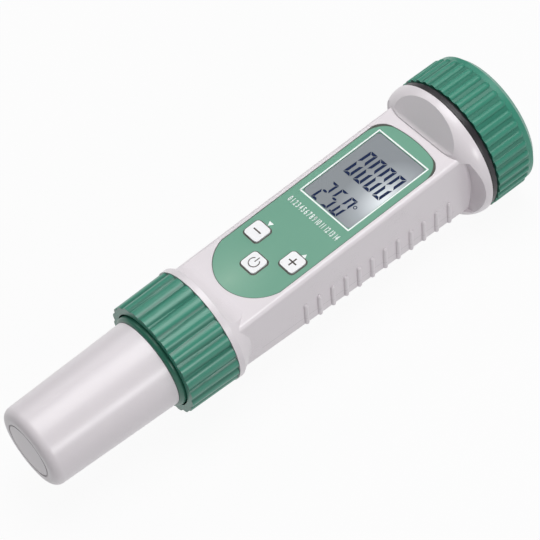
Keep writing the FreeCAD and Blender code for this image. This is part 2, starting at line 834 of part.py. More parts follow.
recess = new_sketch(housing, "XY_Plane", "label_recess", face_offset("-wall"))
outline(recess, label_corners("fit_gap"))
extrude(housing, recess, "wall + label_recess", "recess_cut", cut=True, way=-1)
openings = new_sketch(housing, "XY_Plane", "openings", face_offset("-wall"))
outline(openings, window_corners("fit_gap"))
square_hole(openings, KEY_PLACES.values(), "key_size + running_gap * 4", "key_corner")
extrude(housing, openings, "wall * 2.5", "openings_cut", cut=True, way=-1)

# Screw bosses that carry the main board
GLASS_DEPTH = "(wall + fit_gap)"
BACKLIGHT_DEPTH = f"({GLASS_DEPTH} + glass_thickness)"
BOARD_DEPTH = f"({BACKLIGHT_DEPTH} + backlight_thickness)"
BOSSES = [(x, f"{sign}{y}")
          for x, y in (("boss_front_place", "boss_front_offset"),
                       ("boss_rear_place", "boss_rear_offset"))
          for sign in ("", "-")]
boss_plan = new_sketch(housing, "XY_Plane", "bosses", face_offset(BOARD_DEPTH))
for x, y in BOSSES:
    disc(boss_plan, x, y, "boss_radius")
extrude(housing, boss_plan, f"{BOARD_DEPTH} - wall * 0.8", "bosses_raised")
boss_holes = new_sketch(housing, "XY_Plane", "boss_holes", face_offset(BOARD_DEPTH))
for x, y in BOSSES:
    disc(boss_holes, x, y, "screw_radius + running_gap")
extrude(housing, boss_holes, "screw_length", "bosses_drilled", cut=True)
place(housing, BODY)


# The moulding is split along a plane parallel to the rear face

REAR_TURN = "rotation(vector(0; 1; 0); face_slope)"
COVER_UP = f"(parting_height - {half_at('cover_start')})"
ZONE_WIDTH = "(body_width + grip_proud * 4)"
cover_zone = doc.addObject("Part::Box", "cover_zone")
cover_zone.setExpression("Length", sized("cover_end - cover_start"))
cover_zone.setExpression("Width", sized(ZONE_WIDTH))
cover_zone.setExpression("Height", sized("flange_radius"))
place(cover_zone, f"{BODY} + cover_start - flange_radius * sin(face_slope)",
      f"-{ZONE_WIDTH} / 2", f"{COVER_UP} - flange_radius * cos(face_slope)", REAR_TURN)

front_shell = doc.addObject("Part::Cut", "front_shell")
front_shell.Base = housing
front_shell.Tool = cover_zone
front_shell.Label = "front_shell"

cover_panel = doc.addObject("Part::Common", "cover_panel")
cover_panel.Base = housing
cover_panel.Tool = cover_zone
tongue = new_body("cover_tongue")
rails = new_sketch(tongue, "YZ_Plane", "rails")
INNER_SIDE = "(body_width / 2 - wall)"
for sign in ("", "-"):
    outline(rails, [
        (f"{sign}({INNER_SIDE} + wall / 4)", "-tongue_height"),
        (f"{sign}({INNER_SIDE} + wall / 4)", "0"),
        (f"{sign}({INNER_SIDE} - fit_gap)", "0"),
        (f"{sign}({INNER_SIDE} - fit_gap)", "tongue_height"),
        (f"{sign}({INNER_SIDE} - fit_gap - tongue_thickness)", "tongue_height"),
        (f"{sign}({INNER_SIDE} - fit_gap - tongue_thickness)", "-tongue_height"),
    ])
extrude(tongue, rails, "cover_end - cover_start - wall * 2")
place(tongue, f"{BODY} + cover_start + wall * cos(face_slope)", "0",
      f"{COVER_UP} - wall * sin(face_slope)", REAR_TURN)
rear_cover = doc.addObject("Part::MultiFuse", "rear_cover")
rear_cover.Shapes = [cover_panel, tongue]
rear_cover.Label = "rear_cover"


# Socket for the probe's contacts, behind the neck

socket = turned("probe_socket", BODY, [
    (f"{BULKHEAD} - socket_flange_width", "0"),
    (f"{BULKHEAD} - socket_flange_width", "socket_flange_radius"),
    (BULKHEAD, "socket_flange_radius"),
    (BULKHEAD, "socket_hub_radius"),
    (f"{BULKHEAD} + socket_hub_length", "socket_hub_radius"),
    (f"{BULKHEAD} + socket_hub_length", "0"),
])
socket_holes = contact_ring(socket, "contact_radius + running_gap", "holes")
extrude(socket, socket_holes, "socket_hub_length * 4", "drilled", cut=True, symmetric=True)


# Label, window and display stack under the front face

label = new_body("label")
label_plan = new_sketch(label, "XY_Plane", "plan")
outline(label_plan, label_corners())
extrude(label, label_plan, "label_thickness")
label_openings = new_sketch(label, "XY_Plane", "openings")
outline(label_openings, window_corners("fit_gap"))
square_hole(label_openings, KEY_PLACES.values(), "key_size + running_gap * 4", "key_corner")
extrude(label, label_openings, "label_thickness * 3", "openings_cut", cut=True, symmetric=True)
place_on_face(label, depth="label_recess")

window = new_body("display_window")
window_plan = new_sketch(window, "XY_Plane", "plan")
outline(window_plan, window_corners("0"))
extrude(window, window_plan, "window_thickness", way=-1)
place_on_face(window, depth="wall - window_thickness")

GLASS_MIDDLE = "(window_start + window_length / 2)"
GLASS_START = f"({GLASS_MIDDLE} - glass_length / 2)"
GLASS_END = f"({GLASS_MIDDLE} + glass_length / 2)"
slab("display_glass", GLASS_START, GLASS_END, "glass_width", "glass_thickness", GLASS_DEPTH)
slab("display_backlight", f"{GLASS_START} + zebra_width + fit_gap",
     f"{GLASS_END} - zebra_width - fit_gap", "glass_width", "backlight_thickness", BACKLIGHT_DEPTH)

strips = new_body("contact_strips")
strip_plan = new_sketch(strips, "XY_Plane", "plan")
half_glass = "glass_width / 2"
for start in (GLASS_START, f"({GLASS_END} - zebra_width)"):
    finish = f"{start} + zebra_width"
    outline(strip_plan, [(start, f"-{half_glass}"), (finish, f"-{half_glass}"),
                         (finish, half_glass), (start, half_glass)])
extrude(strips, strip_plan, "backlight_thickness", way=-1)
place_on_face(strips, depth=BACKLIGHT_DEPTH)

frame = slab("display_frame", f"({GLASS_START} - frame_wall - fit_gap)",
             f"({GLASS_END} + frame_wall + fit_gap)", "glass_width + frame_wall * 2 + fit_gap * 2",
             f"{BOARD_DEPTH} - {GLASS_DEPTH}", GLASS_DEPTH, "key_corner")
frame_hole = new_sketch(frame, "XY_Plane", "hole")
half_hole = "(glass_width / 2 + fit_gap)"
outline(frame_hole, [
    (f"{GLASS_START} - fit_gap", f"-{half_hole}"), (f"{GLASS_END} + fit_gap", f"-{half_hole}"),
    (f"{GLASS_END} + fit_gap", half_hole), (f"{GLASS_START} - fit_gap", half_hole)])
extrude(frame, frame_hole, f"{BOARD_DEPTH} * 3", "opened", cut=True, symmetric=True)


# Main board, its parts and its screws

BOARD_BACK = f"({BOARD_DEPTH} + board_thickness)"
board = slab("main_board", "board_start", "board_start + board_length", "board_width",
             "board_thickness", BOARD_DEPTH, "key_corner")
board_holes = new_sketch(board, "XY_Plane", "screw_holes")
for x, y in BOSSES:
    disc(board_holes, x, y, "screw_radius + running_gap")
extrude(board, board_holes, "board_thickness * 3", "drilled", cut=True, symmetric=True)

switches = new_body("key_switches")
switch_plan = new_sketch(switches, "XY_Plane", "bases")
square_hole(switch_plan, KEY_PLACES.values(), "switch_size", "switch_size / 10")
extrude(switches, switch_plan, "switch_height", "bases_raised")
stem_plan = new_sketch(switches, "XY_Plane", "stems")
for x, y in KEY_PLACES.values():
    disc(stem_plan, x, y, "key_plunger_radius")
extrude(switches, stem_plan, "switch_height + switch_stem", "stems_raised")
place_on_face(switches, depth=BOARD_DEPTH)

slab("main_chip", "chip_place - chip_size / 2", "chip_place + chip_size / 2", "chip_size",
     "chip_height", BOARD_BACK, "switch_size / 10")

capacitors = new_body("capacitors")
can_plan = new_sketch(capacitors, "XY_Plane", "cans")
for index in range(SIZES["capacitor_count"]):
    disc(can_plan, "pair_key_place", f"capacitor_pitch * ({index} - (capacitor_count - 1) / 2)",
         "capacitor_radius")
extrude(capacitors, can_plan, "capacitor_height", way=-1)
place_on_face(capacitors, depth=BOARD_BACK)

screws = new_body("board_screws")
head_plan = new_sketch(screws, "XY_Plane", "heads")
shank_plan = new_sketch(screws, "XY_Plane", "shanks")
for x, y in BOSSES:
    disc(head_plan, x, y, "screw_head_radius")
    disc(shank_plan, x, y, "screw_radius")
extrude(screws, head_plan, "screw_head_height", "heads_made", way=-1)
extrude(screws, shank_plan, "board_thickness + screw_length - fit_gap", "shanks_made")
place_on_face(screws, depth=BOARD_BACK)

ribbon = new_body("probe_ribbon")
ribbon_side = new_sketch(ribbon, "XZ_Plane", "side")
RIBBON_START = f"({BULKHEAD} + socket_hub_length)"
RIBBON_UP = f"({half_at('board_start')} - {BOARD_BACK} - ribbon_thickness * 1.5)"
RIBBON_LAND = "(board_start + 6)"
outline(ribbon_side, [
    (RIBBON_START, "0"),
    (f"{RIBBON_START} + 2", "0"),
    ("board_start", RIBBON_UP),
    (RIBBON_LAND, f"{RIBBON_UP} + 6 * {FACE_RISE}"),
    (RIBBON_LAND, f"{RIBBON_UP} + 6 * {FACE_RISE} + ribbon_thickness"),
    ("board_start - 0.3", f"{RIBBON_UP} + ribbon_thickness"),
    (f"{RIBBON_START} + 1.7", "ribbon_thickness"),
    (RIBBON_START, "ribbon_thickness"),
])
extrude(ribbon, ribbon_side, "ribbon_width", symmetric=True)
place(ribbon, BODY)


# Keys

PLUNGER_END = f"({BOARD_DEPTH} - switch_height - switch_stem - key_travel - fit_gap)"
KEY_SEAT = "(wall + fit_gap)"
for name, (x, y) in KEY_PLACES.items():
    key = new_body(name)
    button = new_sketch(key, "XY_Plane", "button")
    square_hole(button, [("0", "0")], "key_size", "key_corner")
    extrude(key, button, f"key_proud + {KEY_SEAT}", "button_raised")
    foot = new_sketch(key, "XY_Plane", "foot")
    square_hole(foot, [("0", "0")], "key_flange_size", "key_corner")
    extrude(key, foot, "key_flange_thickness", "foot_made", way=-1)
    plunger = new_sketch(key, "XY_Plane", "plunger")
    disc(plunger, "0", "0", "key_plunger_radius")
    extrude(key, plunger, f"{PLUNGER_END} - {KEY_SEAT}", "plunger_made", way=-1)
    place_on_face(key, x, y, KEY_SEAT)


# Battery compartment

RUBBER_RADIUS = "(flange_radius - rubber_ring_inset)"
turned("rubber_ring", BACK, [
    ("0", f"{BATTERY_NECK} + running_gap / 2"),
    ("0", f"{RUBBER_RADIUS} - rubber_ring_round", "-rubber_ring_round"),
    ("rubber_ring_round", RUBBER_RADIUS),
    ("rubber_ring_width - rubber_ring_round", RUBBER_RADIUS, "-rubber_ring_round"),
    ("rubber_ring_width", f"{RUBBER_RADIUS} - rubber_ring_round"),
    ("rubber_ring_width", f"{BATTERY_NECK} + running_gap / 2"),
])

STACK = "(cell_height * cell_count)"
HOLDER_BORE = "(cell_radius + fit_gap * 2)"
HOLDER_TUBE = f"({HOLDER_BORE} + holder_wall)"
HOLDER_FLOOR = f"(holder_flange_width - {STACK} - spring_gap)"
CELLS_START = f"(holder_flange_width - {STACK} + fit_gap)"
HOLDER_PLACE = f"({BODY} + {HOLDER_SEAT})"
STRIP_UP = f"({HOLDER_TUBE} + fit_gap / 2)"
holder = turned("battery_holder", HOLDER_PLACE, [
    (f"{HOLDER_FLOOR} - holder_floor", "0"),
    (f"{HOLDER_FLOOR} - holder_floor", HOLDER_TUBE),
    ("0", HOLDER_TUBE),
    ("0", f"{BATTERY_SEAT} - fit_gap * 2"),
    ("holder_flange_width", f"{BATTERY_SEAT} - fit_gap * 2"),
    ("holder_flange_width", HOLDER_BORE),
    (HOLDER_FLOOR, HOLDER_BORE),
    (HOLDER_FLOOR, "0"),
])
strip_slot = new_sketch(holder, "YZ_Plane", "strip_slot")
half_slot = "(strip_width / 2 + fit_gap)"
outline(strip_slot, [
    (f"-{half_slot}", HOLDER_TUBE), (half_slot, HOLDER_TUBE),
    (half_slot, f"{STRIP_UP} + strip_thickness + fit_gap"),
    (f"-{half_slot}", f"{STRIP_UP} + strip_thickness + fit_gap"),
])
extrude(holder, strip_slot, "holder_flange_width * 3", "slotted", cut=True, symmetric=True)
for index in range(SIZES["cell_count"]):
    turned(f"battery_cell_{index + 1}", f"{HOLDER_PLACE} + {CELLS_START} + cell_height * {index}", [
        ("0", "0"),
        ("0", "cell_radius - cell_step * 2"),
        ("cell_step", "cell_radius - cell_step"),
        ("cell_step", "cell_radius"),
        ("cell_height", "cell_radius"),
        ("cell_height", "0"),
    ])


def bowed_leaf(label, along, length, rise):
    """A leaf spring that stands on its two ends, with its crown towards the battery cap."""
    body = new_body(label)
    side = new_sketch(body, "XZ_Plane", "side")
    end = f"({length}) / 2"
    bow = f"((({end}) ^ 2 + ({rise}) ^ 2) / (2 * ({rise})))"
    inner_bow = f"({bow} - leaf_thickness)"
    inner_end = f"sqrt({inner_bow} ^ 2 - ({bow} - ({rise})) ^ 2)"
    outline(side, [
        ("0", end, f"-{bow}"),
        ("0", f"-({end})"),
        ("0", f"-{inner_end}", inner_bow),
        ("0", inner_end),
    ])
    extrude(body, side, "leaf_width", symmetric=True)
    place(body, along)


bowed_leaf("battery_spring", f"{HOLDER_PLACE} + {HOLDER_FLOOR}", "battery_leaf_length", "spring_gap")

# Positive strip from the board's end to the rim of the holder
strip = new_body("positive_strip")
strip_side = new_sketch(strip, "XZ_Plane", "side")
STRIP_TOP = "(disc_radius - fit_gap * 10)"
outline(strip_side, [
    ("-strip_length", STRIP_UP),
    ("0", STRIP_UP),
    ("0", STRIP_TOP),
    ("-strip_thickness", STRIP_TOP),
    ("-strip_thickness", f"{STRIP_UP} + strip_thickness"),
    ("-strip_length", f"{STRIP_UP} + strip_thickness"),
])
extrude(strip, strip_side, "strip_width", symmetric=True)
DISC_PLACE = f"({HOLDER_PLACE} + holder_flange_width + strip_thickness + fit_gap)"
place(strip, f"{DISC_PLACE} - fit_gap")


# Swivelling contact disc, its leaf spring and the battery cap

turned("contact_disc", DISC_PLACE, [
    ("-strip_thickness", "0"),
    ("-strip_thickness", "disc_dimple_radius - disc_thickness"),
    ("fit_gap", "disc_dimple_radius"),
    ("fit_gap", "disc_radius"),
    ("fit_gap + disc_thickness", "disc_radius"),
    ("fit_gap + disc_thickness", "0"),
])
ROOF = f"({END} - battery_cap_roof)"
LEAF_START = f"({DISC_PLACE} + fit_gap + disc_thickness)"
bowed_leaf("contact_spring", LEAF_START, "contact_leaf_length", f"({ROOF} - {LEAF_START} - fit_gap)")

VALLEY = f"({CAP_RADIUS} - battery_cap_rib_height)"
RIM = f"({VALLEY} - battery_cap_rim_drop)"
battery_cap = turned("battery_cap", BATTERY_CAP, [
    ("0", f"{BATTERY_NECK} + running_gap"),
    ("0", VALLEY),
    ("battery_cap_length - battery_cap_edge", VALLEY),
    ("battery_cap_length - battery_cap_edge / 3", f"{RIM} + battery_cap_edge / 3"),
    ("battery_cap_length", RIM),
    ("battery_cap_length", "0"),
    ("battery_cap_length - battery_cap_roof", "0"),
    ("battery_cap_length - battery_cap_roof", f"{BATTERY_NECK} + running_gap"),
])
HALF_RIB = "(180 / battery_cap_ribs)"
cap_rib = new_sketch(battery_cap, "XZ_Plane", "rib", (
    f"placement(vector(0; {RIB_CENTRE} * cos({HALF_RIB}); {RIB_CENTRE} * sin({HALF_RIB}));"
    f" rotation(vector(1; 0; 0); {HALF_RIB}))"))
outline(cap_rib, [
    ("0", "0"),
    ("0", "battery_cap_rib_round"),
    ("battery_cap_length - battery_cap_rib_end - battery_cap_rib_round", "battery_cap_rib_round",
     "-battery_cap_rib_round"),
    ("battery_cap_length - battery_cap_rib_end", "0"),
])
pattern_round(battery_cap, revolve(battery_cap, cap_rib, "rib_turned"), "battery_cap_ribs")

doc.recompute()


# Checks and export

NODES = [
    "protective_cap", "cap_sponge", "probe_base", "cap_seal", "plug_seal", "probe_guard",
    "probe_core", "ph_bulb", "conductivity_pins", "temperature_tube", "reference_junction",
    "contact_carrier", "contact_pins", "probe_board", "collar", "front_shell", "rear_cover",
    "probe_socket", "label", "display_window", "display_glass", "display_backlight",
    "contact_strips", "display_frame", "main_board", "key_switches", "main_chip", "capacitors",
    "board_screws", "probe_ribbon", "key_power", "key_left", "key_right", "rubber_ring",
    "battery_holder", "battery_cell_1", "battery_cell_2", "battery_cell_3", "battery_cell_4",
    "battery_spring", "positive_strip", "contact_disc", "contact_spring", "battery_cap",
]

failed = [f"{item.Name}: {item.getStatusString()}" for item in doc.Objects
          if "Invalid" in item.State or "Error" in item.State]
if failed:
    raise RuntimeError("\n".join(failed))
os.makedirs("parts", exist_ok=True)
for label_text in NODES:
    piece = doc.getObjectsByLabel(label_text)[0]
    if piece.Shape.isNull() or not piece.Shape.isValid():
        raise RuntimeError(f"{label_text} has no valid shape")
    piece.Shape.exportStep(f"parts/{label_text}.step")
    print(label_text, len(piece.Shape.Solids), round(piece.Shape.Volume, 1))
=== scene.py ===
import bpy
import math
from mathutils import Matrix, Vector


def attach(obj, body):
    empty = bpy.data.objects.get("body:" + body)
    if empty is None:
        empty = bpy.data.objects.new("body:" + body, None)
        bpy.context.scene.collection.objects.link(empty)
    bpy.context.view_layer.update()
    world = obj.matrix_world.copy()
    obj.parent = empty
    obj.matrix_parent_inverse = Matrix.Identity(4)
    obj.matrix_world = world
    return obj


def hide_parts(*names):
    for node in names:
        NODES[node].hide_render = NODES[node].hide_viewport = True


# Looks of a pen-type water quality tester. Lengths are in metres, and MM turns millimetres
# into them. +X runs from the protective cap to the battery cap, +Z is up, out of the display.

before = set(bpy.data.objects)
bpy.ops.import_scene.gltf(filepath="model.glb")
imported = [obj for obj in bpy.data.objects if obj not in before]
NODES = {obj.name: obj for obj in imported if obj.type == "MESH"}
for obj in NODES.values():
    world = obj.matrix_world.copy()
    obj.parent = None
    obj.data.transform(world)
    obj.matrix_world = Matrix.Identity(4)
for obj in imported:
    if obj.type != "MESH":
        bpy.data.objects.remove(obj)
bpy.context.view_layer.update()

MM = 0.001
AXIS_HEIGHT = 23.8238 * MM
HALF_LENGTH = 92.5 * MM

# Where the front face starts, in millimetres from the protective cap's end and above the axis,
# and its rise towards the battery cap
FACE_ALONG, FACE_UP = 67.4, 9.35
FACE_SLOPE = math.radians(2.08)
FACE_START = Vector((FACE_ALONG * MM - HALF_LENGTH, 0, AXIS_HEIGHT + FACE_UP * MM))

# Depths under the front face
LABEL_DEPTH = 0.15 * MM
WINDOW_DEPTH = 0.3 * MM
KEY_TOP = -0.35 * MM
INK_HEIGHT = 0.03 * MM

# The rear cover's edge: its two ends in millimetres from the protective cap's end, its height
# above the rear face, which falls as the front face rises, and half its parting line's width
COVER_ALONG, COVER_END, COVER_HEIGHT, SEAM_WIDTH = 76.4, 155.4, 3.9, 0.06
COVER_START = COVER_ALONG * MM - HALF_LENGTH
COVER_DROP = math.tan(FACE_SLOPE)
COVER_UP = AXIS_HEIGHT + (COVER_HEIGHT - FACE_UP - (COVER_ALONG - FACE_ALONG) * COVER_DROP) * MM
COVER_SEAM = {
    "Plane Slope": -COVER_DROP, "Plane Up": COVER_UP + COVER_START * COVER_DROP,
    "Start": COVER_START, "Finish": COVER_END * MM - HALF_LENGTH, "Width": SEAM_WIDTH * MM,
}

NECK_THREAD = {"Pitch": 4 * MM, "Front Neck End": -27.2 * MM, "Rear Neck Start": 76.2 * MM}
THREAD_RELIEF = 0.8 * MM

# The floors of the grooves around the turned pieces, the last being the ring line on the
# protective cap's end, where a darker colour is painted shade
COLLAR_FLUTES = {"Floor Radius": 19.615 * MM, "Floor Slope": 0.01667, "Depth": 0.42 * MM}
CAP_FLUTES = {"Floor Radius": 23.25 * MM, "Depth": 0.5 * MM, "Finish": 88.9 * MM}
END_RING = {"Floor Radius": 9.2 * MM, "Depth": 0.5 * MM, "Finish": -91.9 * MM}

LABEL_OUTLINE = {
    "Nose Middle": FACE_START.x + 23.7 * MM, "Nose Radius": 14.6 * MM, "Half Width": 14.2 * MM,
    "Tail Middle": FACE_START.x + 43.8 * MM, "Tail Radius": 44.0 * MM, "Corner": 6.0 * MM,
    "Width": 0.3 * MM,
}

FLOAT, COLOUR, VECTOR = "NodeSocketFloat", "NodeSocketColor", "NodeSocketVector"


def srgb(red, green, blue):
    """A colour given in steps from 0 to 255, as the shader's linear values."""
    values = [step / 255 for step in (red, green, blue)]
    return [v / 12.92 if v <= 0.04045 else ((v + 0.055) / 1.055) ** 2.4 for v in values] + [1]


def darker(colour, share):
    return [part * share for part in colour[:3]] + [1]


# Shader nodes

def feed(node, values):
    """Gives inputs their constants, or links where the value is another node's socket."""
    for name, value in values.items():
        if isinstance(value, bpy.types.NodeSocket):
            node.id_data.links.new(value, node.inputs[name])
        else:
            node.inputs[name].default_value = value


def add_node(tree, kind, values=None, **settings):
    node = tree.nodes.new(kind)
    for name, value in settings.items():
        setattr(node, name, value)
    feed(node, values or {})
    return node


def calc(operation, *values):
    """The result of a maths node over numbers and at least one socket."""
    tree = next(value.id_data for value in values if isinstance(value, bpy.types.NodeSocket))
    node = add_node(tree, "ShaderNodeMath", dict(enumerate(values)), operation=operation)
    return node.outputs[0]


def clamped(value):
    return calc("MINIMUM", calc("MAXIMUM", value, 0.0), 1.0)


def hypotenuse(first, second):
    squares = [calc("MULTIPLY", side, side) for side in (first, second)]
    return calc("SQRT", calc("ADD", *squares))


def own_place(tree):
    """A point of the surface in the object's own coordinates."""
    return tree.nodes.new("ShaderNodeTexCoord").outputs["Object"]


def own_axes(tree):
    """X, Y and Z of a point of the surface in the object's own coordinates."""
    split = add_node(tree, "ShaderNodeSeparateXYZ", {0: own_place(tree)})
    return split.outputs["X"], split.outputs["Y"], split.outputs["Z"]


def noise(place, scale, detail=2.0):
    """Noise over a place, with its scale in spots per metre."""
    values = {"Vector": place, "Scale": scale, "Detail": detail}
    return add_node(place.id_data, "ShaderNodeTexNoise", values).outputs["Fac"]


def glow(place, middle, scale, kind):
    """1 at a middle on the XY plane, falling to 0 at 1 / scale from it along X and Y."""
    offset = [-part * size for part, size in zip(middle, scale)]
    spread = add_node(place.id_data, "ShaderNodeMapping", {
        "Vector": place, "Location": (*offset, 0.0), "Scale": (*scale, 0)})
    return add_node(place.id_data, "ShaderNodeTexGradient", {"Vector": spread.outputs[0]},
                    gradient_type=kind).outputs["Fac"]


def bump(height, distance, strength, normal=None):
    """The normal of a surface raised by a height, on top of another normal if one is given."""
    values = {"Height": height, "Distance": distance, "Strength": strength}
    if normal is not None:
        values["Normal"] = normal
    return add_node(height.id_data, "ShaderNodeBump", values).outputs[0]


def mixed(share, first, second):
    """The first colour where the share is 0, and the second where it is 1."""
    values = {"Factor": share, "A": first, "B": second}
    return add_node(share.id_data, "ShaderNodeMix", values, data_type="RGBA").outputs["Result"]


def spread_over(value, low, high):
    """A value from 0 to 1, spread over the range from low to high."""
    values = {"Value": value, "To Min": low, "To Max": high}
    return add_node(value.id_data, "ShaderNodeMapRange", values).outputs[0]


def from_group(tree, group, values=None):
    return add_node(tree, "ShaderNodeGroup", values, node_tree=group).outputs


# Shader groups

def new_group(name, inputs, outputs):
    """A shader group, the sockets it is given, and the node that takes its results."""
    group = bpy.data.node_groups.new(name, "ShaderNodeTree")
    for label, value in inputs.items():
        kind = FLOAT if isinstance(value, float) else COLOUR
        socket = group.interface.new_socket(label, in_out="INPUT", socket_type=kind)
        socket.default_value = value
    for label, kind in outputs.items():
        group.interface.new_socket(label, in_out="OUTPUT", socket_type=kind)
    return group, group.nodes.new("NodeGroupInput").outputs, group.nodes.new("NodeGroupOutput")


def moulded_surface_group():
    """Slight tone changes, fine grain and soft flow waves of moulded plastic."""
    group, given, result = new_group("moulded_surface", {
        "Colour": (0.8, 0.8, 0.8, 1), "Tone": 0.05, "Roughness": 0.3, "Grain Scale": 4000.0,
        "Grain Depth": 0.01 * MM, "Wave Depth": 0.1 * MM,
    }, {"Colour": COLOUR, "Roughness": FLOAT, "Normal": VECTOR})
    cloud_scale, wave_scale, roughness_change = 60.0, 90.0, 0.12
    place = own_place(group)
    clouds = calc("SUBTRACT", noise(place, cloud_scale), 0.5)
    grain = noise(place, given["Grain Scale"], 4.0)
    brightness = calc("ADD", calc("MULTIPLY", clouds, given["Tone"]), 1.0)
    tint = add_node(group, "ShaderNodeHueSaturation", {
        "Color": given["Colour"], "Value": brightness})
    uneven = calc("MULTIPLY", calc("SUBTRACT", grain, 0.5), roughness_change)
    smear = calc("MULTIPLY", clouds, roughness_change)
    waves = bump(noise(place, wave_scale, 1.0), given["Wave Depth"], 0.5)
    feed(result, {
        "Colour": tint.outputs[0],
        "Roughness": calc("ADD", calc("ADD", uneven, smear), given["Roughness"]),
        "Normal": bump(grain, given["Grain Depth"], 0.6, waves)})
    return group


def seam_mask_group():
    """A thin line where the surface crosses a plane, between two places along X."""
    group, given, result = new_group("seam_mask", {
        "Plane Up": 0.0, "Plane Slope": 0.0, "Start": -1.0, "Finish": 1.0, "Width": 0.1 * MM,
    }, {"Mask": FLOAT})
    along, _, height = own_axes(group)
    plane = calc("MULTIPLY_ADD", along, given["Plane Slope"], given["Plane Up"])
    near = calc("LESS_THAN", calc("ABSOLUTE", calc("SUBTRACT", height, plane)), given["Width"])
    within = calc("MULTIPLY", calc("GREATER_THAN", along, given["Start"]),
                  calc("LESS_THAN", along, given["Finish"]))
    feed(result, {"Mask": calc("MULTIPLY", near, within)})
    return group


def groove_shade_mask_group():
    """Painted shade mask: 1 at the floor of the grooves around a turned piece, 0 on their ridges.
    """
    group, given, result = new_group("groove_shade_mask", {
        "Floor Radius": 20 * MM, "Floor Slope": 0.0, "Depth": 0.5 * MM, "Finish": 1.0,
    }, {"Mask": FLOAT})
    along, across, height = own_axes(group)
    radius = hypotenuse(calc("SUBTRACT", height, AXIS_HEIGHT), across)
    floor_radius = calc("MULTIPLY_ADD", along, given["Floor Slope"], given["Floor Radius"])
    away = calc("ABSOLUTE", calc("SUBTRACT", radius, floor_radius))
    share = calc("SUBTRACT", 1.0, calc("DIVIDE", away, given["Depth"]))
    before = calc("LESS_THAN", along, given["Finish"])
    feed(result, {"Mask": calc("MULTIPLY", calc("MAXIMUM", share, 0.0), before)})
    return group


def thread_height_group():
    """The height of a round screw thread on the two necks of the housing."""
    group, given, result = new_group("thread_height", NECK_THREAD, {"Height": FLOAT})
    along, across, height = own_axes(group)
    up = calc("SUBTRACT", height, AXIS_HEIGHT)
    turn = calc("DIVIDE", calc("ARCTAN2", up, across), 2 * math.pi)
    pitches = calc("DIVIDE", along, given["Pitch"])
    phase = calc("MULTIPLY", calc("SUBTRACT", pitches, turn), 2 * math.pi)
    steepness, valley = 1.6, -0.4
    ridge = clamped(calc("MULTIPLY_ADD", calc("SINE", phase), steepness, valley))
    necks = calc("ADD", calc("LESS_THAN", along, given["Front Neck End"]),
                 calc("GREATER_THAN", along, given["Rear Neck Start"]))
    feed(result, {"Height": calc("MULTIPLY", ridge, necks)})
    return group


def label_gap_shade_group():
    """Painted shade of the gap around the label, with some dirt: a thin line just inside the
    label's outline: round nose, straight sides, curved tail.
    """
    group, given, result = new_group("label_gap_shade", LABEL_OUTLINE, {"Mask": FLOAT})
    along, across, _ = own_axes(group)
    before_nose = calc("MINIMUM", calc("SUBTRACT", along, given["Nose Middle"]), 0.0)
    nose = calc("SUBTRACT", hypotenuse(before_nose, across), given["Nose Radius"])
    side = calc("SUBTRACT", calc("ABSOLUTE", across), given["Half Width"])
    after_middle = calc("SUBTRACT", along, given["Tail Middle"])
    tail = calc("SUBTRACT", hypotenuse(after_middle, across), given["Tail Radius"])
    past = [calc("MAXIMUM", calc("ADD", part, given["Corner"]), 0.0) for part in (side, tail)]
    rounded = calc("SUBTRACT", hypotenuse(*past), given["Corner"])
    inset = calc("ADD", calc("MAXIMUM", nose, rounded), given["Width"])
    feed(result, {"Mask": clamped(calc("DIVIDE", inset, given["Width"]))})
    return group


MOULDED = moulded_surface_group()
LABEL_GAP_SHADE = label_gap_shade_group()
SEAM = seam_mask_group()
GROOVE_SHADE = groove_shade_mask_group()
THREAD = thread_height_group()


# Materials

def new_material(name):
    material = bpy.data.materials.new(name)
    material.use_nodes = True
    return material, material.node_tree, material.node_tree.nodes["Principled BSDF"]


def moulded(name, colour, tone=0.05, roughness=0.3, grain_scale=4000.0, grain_depth=0.01,
            wave_depth=0.05, shine=0.5, seam=None, shaded_grooves=None, threads=False):
    """Moulded plastic, rubber or ink. Depths are in millimetres."""
    material, tree, shader = new_material(name)
    surface = from_group(tree, MOULDED, {
        "Colour": colour, "Tone": tone, "Roughness": roughness, "Grain Scale": grain_scale,
        "Grain Depth": grain_depth * MM, "Wave Depth": wave_depth * MM})
    base, normal = surface["Colour"], surface["Normal"]
    if seam:
        base = mixed(from_group(tree, SEAM, seam)["Mask"], base, darker(colour, 0.7))
    # Painted shade: the grooves' floors take a darker colour where shade falls
    if shaded_grooves:
        shade_in_grooves = from_group(tree, GROOVE_SHADE, shaded_grooves["shape"])["Mask"]
        base = mixed(calc("MULTIPLY", shade_in_grooves, shaded_grooves["strength"]), base, shaded_grooves["colour"])
    if threads:
        normal = bump(from_group(tree, THREAD)["Height"], THREAD_RELIEF, 0.8, normal)
    feed(shader, {"Base Color": base, "Roughness": surface["Roughness"], "Normal": normal,
                  "Specular IOR Level": shine})
    return material


def metal(name, colour, roughness=0.25, brush_scale=900.0, stretch=(1, 1, 1)):
    """Plated or brushed metal with fine lines along one way."""
    material, tree, shader = new_material(name)
    place = add_node(tree, "ShaderNodeMapping", {"Vector": own_place(tree), "Scale": stretch})
    lines = noise(place.outputs[0], brush_scale, 3.0)
    feed(shader, {
        "Metallic": 1.0,
        "Base Color": mixed(lines, colour, darker(colour, 0.8)),
        "Roughness": spread_over(lines, roughness - 0.08, roughness + 0.12),
        "Normal": bump(lines, 0.02 * MM, 0.2)})
    return material


